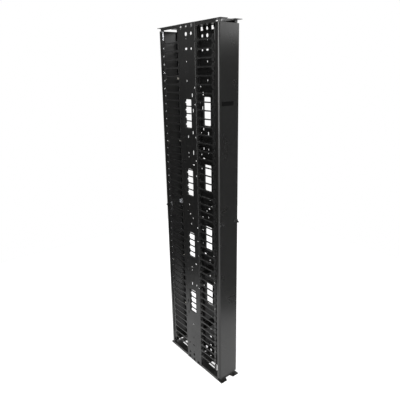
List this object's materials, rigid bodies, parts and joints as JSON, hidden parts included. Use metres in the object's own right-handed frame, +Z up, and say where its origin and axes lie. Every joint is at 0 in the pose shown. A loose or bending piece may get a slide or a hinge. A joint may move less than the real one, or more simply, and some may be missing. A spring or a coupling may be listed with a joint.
{
  "type": "vertical cable manager",
  "caption": "Tall narrow steel frame with cable fingers along four edges, windowed side plates, and a dual-hinged latching door at the front and the rear.",
  "frame": {"origin": "centre of the footprint on the floor", "axes": "+Z up, the front door faces -Y, +X is the right-hand side seen from the front"},
  "size_m": [0.15, 0.556, 2.134],
  "materials": {
    "frame_steel": "satin black powder coat",
    "door_steel": "satin black powder coat",
    "finger_plastic": "moulded black nylon",
    "trim_plastic": "moulded black plastic",
    "knob_plastic": "polished black plastic",
    "badge_plastic": "blank dark badge",
    "nylon": "natural nylon",
    "zinc_steel": "bright zinc plate"
  },
  "bodies": {
    "frame": {"top_plate": "frame_steel", "bottom_plate": "frame_steel", "side_plate_left": "frame_steel", "side_plate_right": "frame_steel", "cross_brace_1": "frame_steel", "cross_brace_2": "frame_steel", "cross_brace_3": "frame_steel", "cross_brace_4": "frame_steel", "brace_screws_left": "zinc_steel", "brace_screws_right": "zinc_steel", "end_screws_left": "zinc_steel", "end_screws_right": "zinc_steel", "window_trim_left": "trim_plastic", "window_trim_right": "trim_plastic", "fingers_front_left": "finger_plastic", "fingers_front_right": "finger_plastic", "fingers_rear_left": "finger_plastic", "fingers_rear_right": "finger_plastic", "pivot_bushes_top": "zinc_steel", "pivot_bushes_bottom": "zinc_steel"},
    "front_door_body": {"front_door": "door_steel", "front_badge": "badge_plastic", "front_rod_guides": "nylon", "front_latch_case_hinge": "zinc_steel", "front_latch_case_free": "zinc_steel"},
    "front_knob_hinge_body": {"front_knob_hinge": "knob_plastic", "front_pinion_hinge": "zinc_steel"},
    "front_upper_rod_hinge_body": {"front_upper_rod_hinge": "zinc_steel"},
    "front_lower_rod_hinge_body": {"front_lower_rod_hinge": "zinc_steel"},
    "front_knob_free_body": {"front_knob_free": "knob_plastic", "front_pinion_free": "zinc_steel"},
    "front_upper_rod_free_body": {"front_upper_rod_free": "zinc_steel"},
    "front_lower_rod_free_body": {"front_lower_rod_free": "zinc_steel"},
    "rear_door_body": {"rear_door": "door_steel", "rear_rod_guides": "nylon", "rear_latch_case_hinge": "zinc_steel", "rear_latch_case_free": "zinc_steel"},
    "rear_knob_hinge_body": {"rear_knob_hinge": "knob_plastic", "rear_pinion_hinge": "zinc_steel"},
    "rear_upper_rod_hinge_body": {"rear_upper_rod_hinge": "zinc_steel"},
    "rear_lower_rod_hinge_body": {"rear_lower_rod_hinge": "zinc_steel"},
    "rear_knob_free_body": {"rear_knob_free": "knob_plastic", "rear_pinion_free": "zinc_steel"},
    "rear_upper_rod_free_body": {"rear_upper_rod_free": "zinc_steel"},
    "rear_lower_rod_free_body": {"rear_lower_rod_free": "zinc_steel"}
  },
  "joints": [
    {"name": "front_door_swing", "type": "hinge", "parent": "frame", "child": "front_door_body", "pos_m": [0.054, -0.25, 1.067], "axis": [0, 0, 1], "range_deg": [0, 120]},
    {"name": "front_knob_hinge_turn", "type": "hinge", "parent": "front_door_body", "child": "front_knob_hinge_body", "pos_m": [0.054, -0.25, 1.067], "axis": [0, 1, 0], "range_deg": [0, 180]},
    {"name": "front_upper_rod_hinge_slide", "type": "slide", "parent": "front_door_body", "child": "front_upper_rod_hinge_body", "axis": [0, 0, -1], "range_m": [0, 0.02356]},
    {"name": "front_lower_rod_hinge_slide", "type": "slide", "parent": "front_door_body", "child": "front_lower_rod_hinge_body", "axis": [0, 0, 1], "range_m": [0, 0.02356]},
    {"name": "front_knob_free_turn", "type": "hinge", "parent": "front_door_body", "child": "front_knob_free_body", "pos_m": [-0.054, -0.25, 1.067], "axis": [0, -1, 0], "range_deg": [0, 180]},
    {"name": "front_upper_rod_free_slide", "type": "slide", "parent": "front_door_body", "child": "front_upper_rod_free_body", "axis": [0, 0, 1], "range_m": [0, 0.02356]},
    {"name": "front_lower_rod_free_slide", "type": "slide", "parent": "front_door_body", "child": "front_lower_rod_free_body", "axis": [0, 0, -1], "range_m": [0, 0.02356]},
    {"name": "rear_door_swing", "type": "hinge", "parent": "frame", "child": "rear_door_body", "pos_m": [-0.054, 0.25, 1.067], "axis": [0, 0, 1], "range_deg": [0, 120]},
    {"name": "rear_knob_hinge_turn", "type": "hinge", "parent": "rear_door_body", "child": "rear_knob_hinge_body", "pos_m": [-0.054, 0.25, 1.067], "axis": [0, -1, 0], "range_deg": [0, 180]},
    {"name": "rear_upper_rod_hinge_slide", "type": "slide", "parent": "rear_door_body", "child": "rear_upper_rod_hinge_body", "axis": [0, 0, -1], "range_m": [0, 0.02356]},
    {"name": "rear_lower_rod_hinge_slide", "type": "slide", "parent": "rear_door_body", "child": "rear_lower_rod_hinge_body", "axis": [0, 0, 1], "range_m": [0, 0.02356]},
    {"name": "rear_knob_free_turn", "type": "hinge", "parent": "rear_door_body", "child": "rear_knob_free_body", "pos_m": [0.054, 0.25, 1.067], "axis": [0, 1, 0], "range_deg": [0, 180]},
    {"name": "rear_upper_rod_free_slide", "type": "slide", "parent": "rear_door_body", "child": "rear_upper_rod_free_body", "axis": [0, 0, 1], "range_m": [0, 0.02356]},
    {"name": "rear_lower_rod_free_slide", "type": "slide", "parent": "rear_door_body", "child": "rear_lower_rod_free_body", "axis": [0, 0, -1], "range_m": [0, 0.02356]}
  ],
  "couplings": [
    {"joint": "front_knob_hinge_turn", "follows": "front_upper_rod_hinge_slide", "rad_per_m": 133.33},
    {"joint": "front_lower_rod_hinge_slide", "follows": "front_upper_rod_hinge_slide", "ratio": 1},
    {"joint": "front_knob_free_turn", "follows": "front_upper_rod_free_slide", "rad_per_m": 133.33},
    {"joint": "front_lower_rod_free_slide", "follows": "front_upper_rod_free_slide", "ratio": 1},
    {"joint": "rear_knob_hinge_turn", "follows": "rear_upper_rod_hinge_slide", "rad_per_m": 133.33},
    {"joint": "rear_lower_rod_hinge_slide", "follows": "rear_upper_rod_hinge_slide", "ratio": 1},
    {"joint": "rear_knob_free_turn", "follows": "rear_upper_rod_free_slide", "rad_per_m": 133.33},
    {"joint": "rear_lower_rod_free_slide", "follows": "rear_upper_rod_free_slide", "ratio": 1}
  ]
}
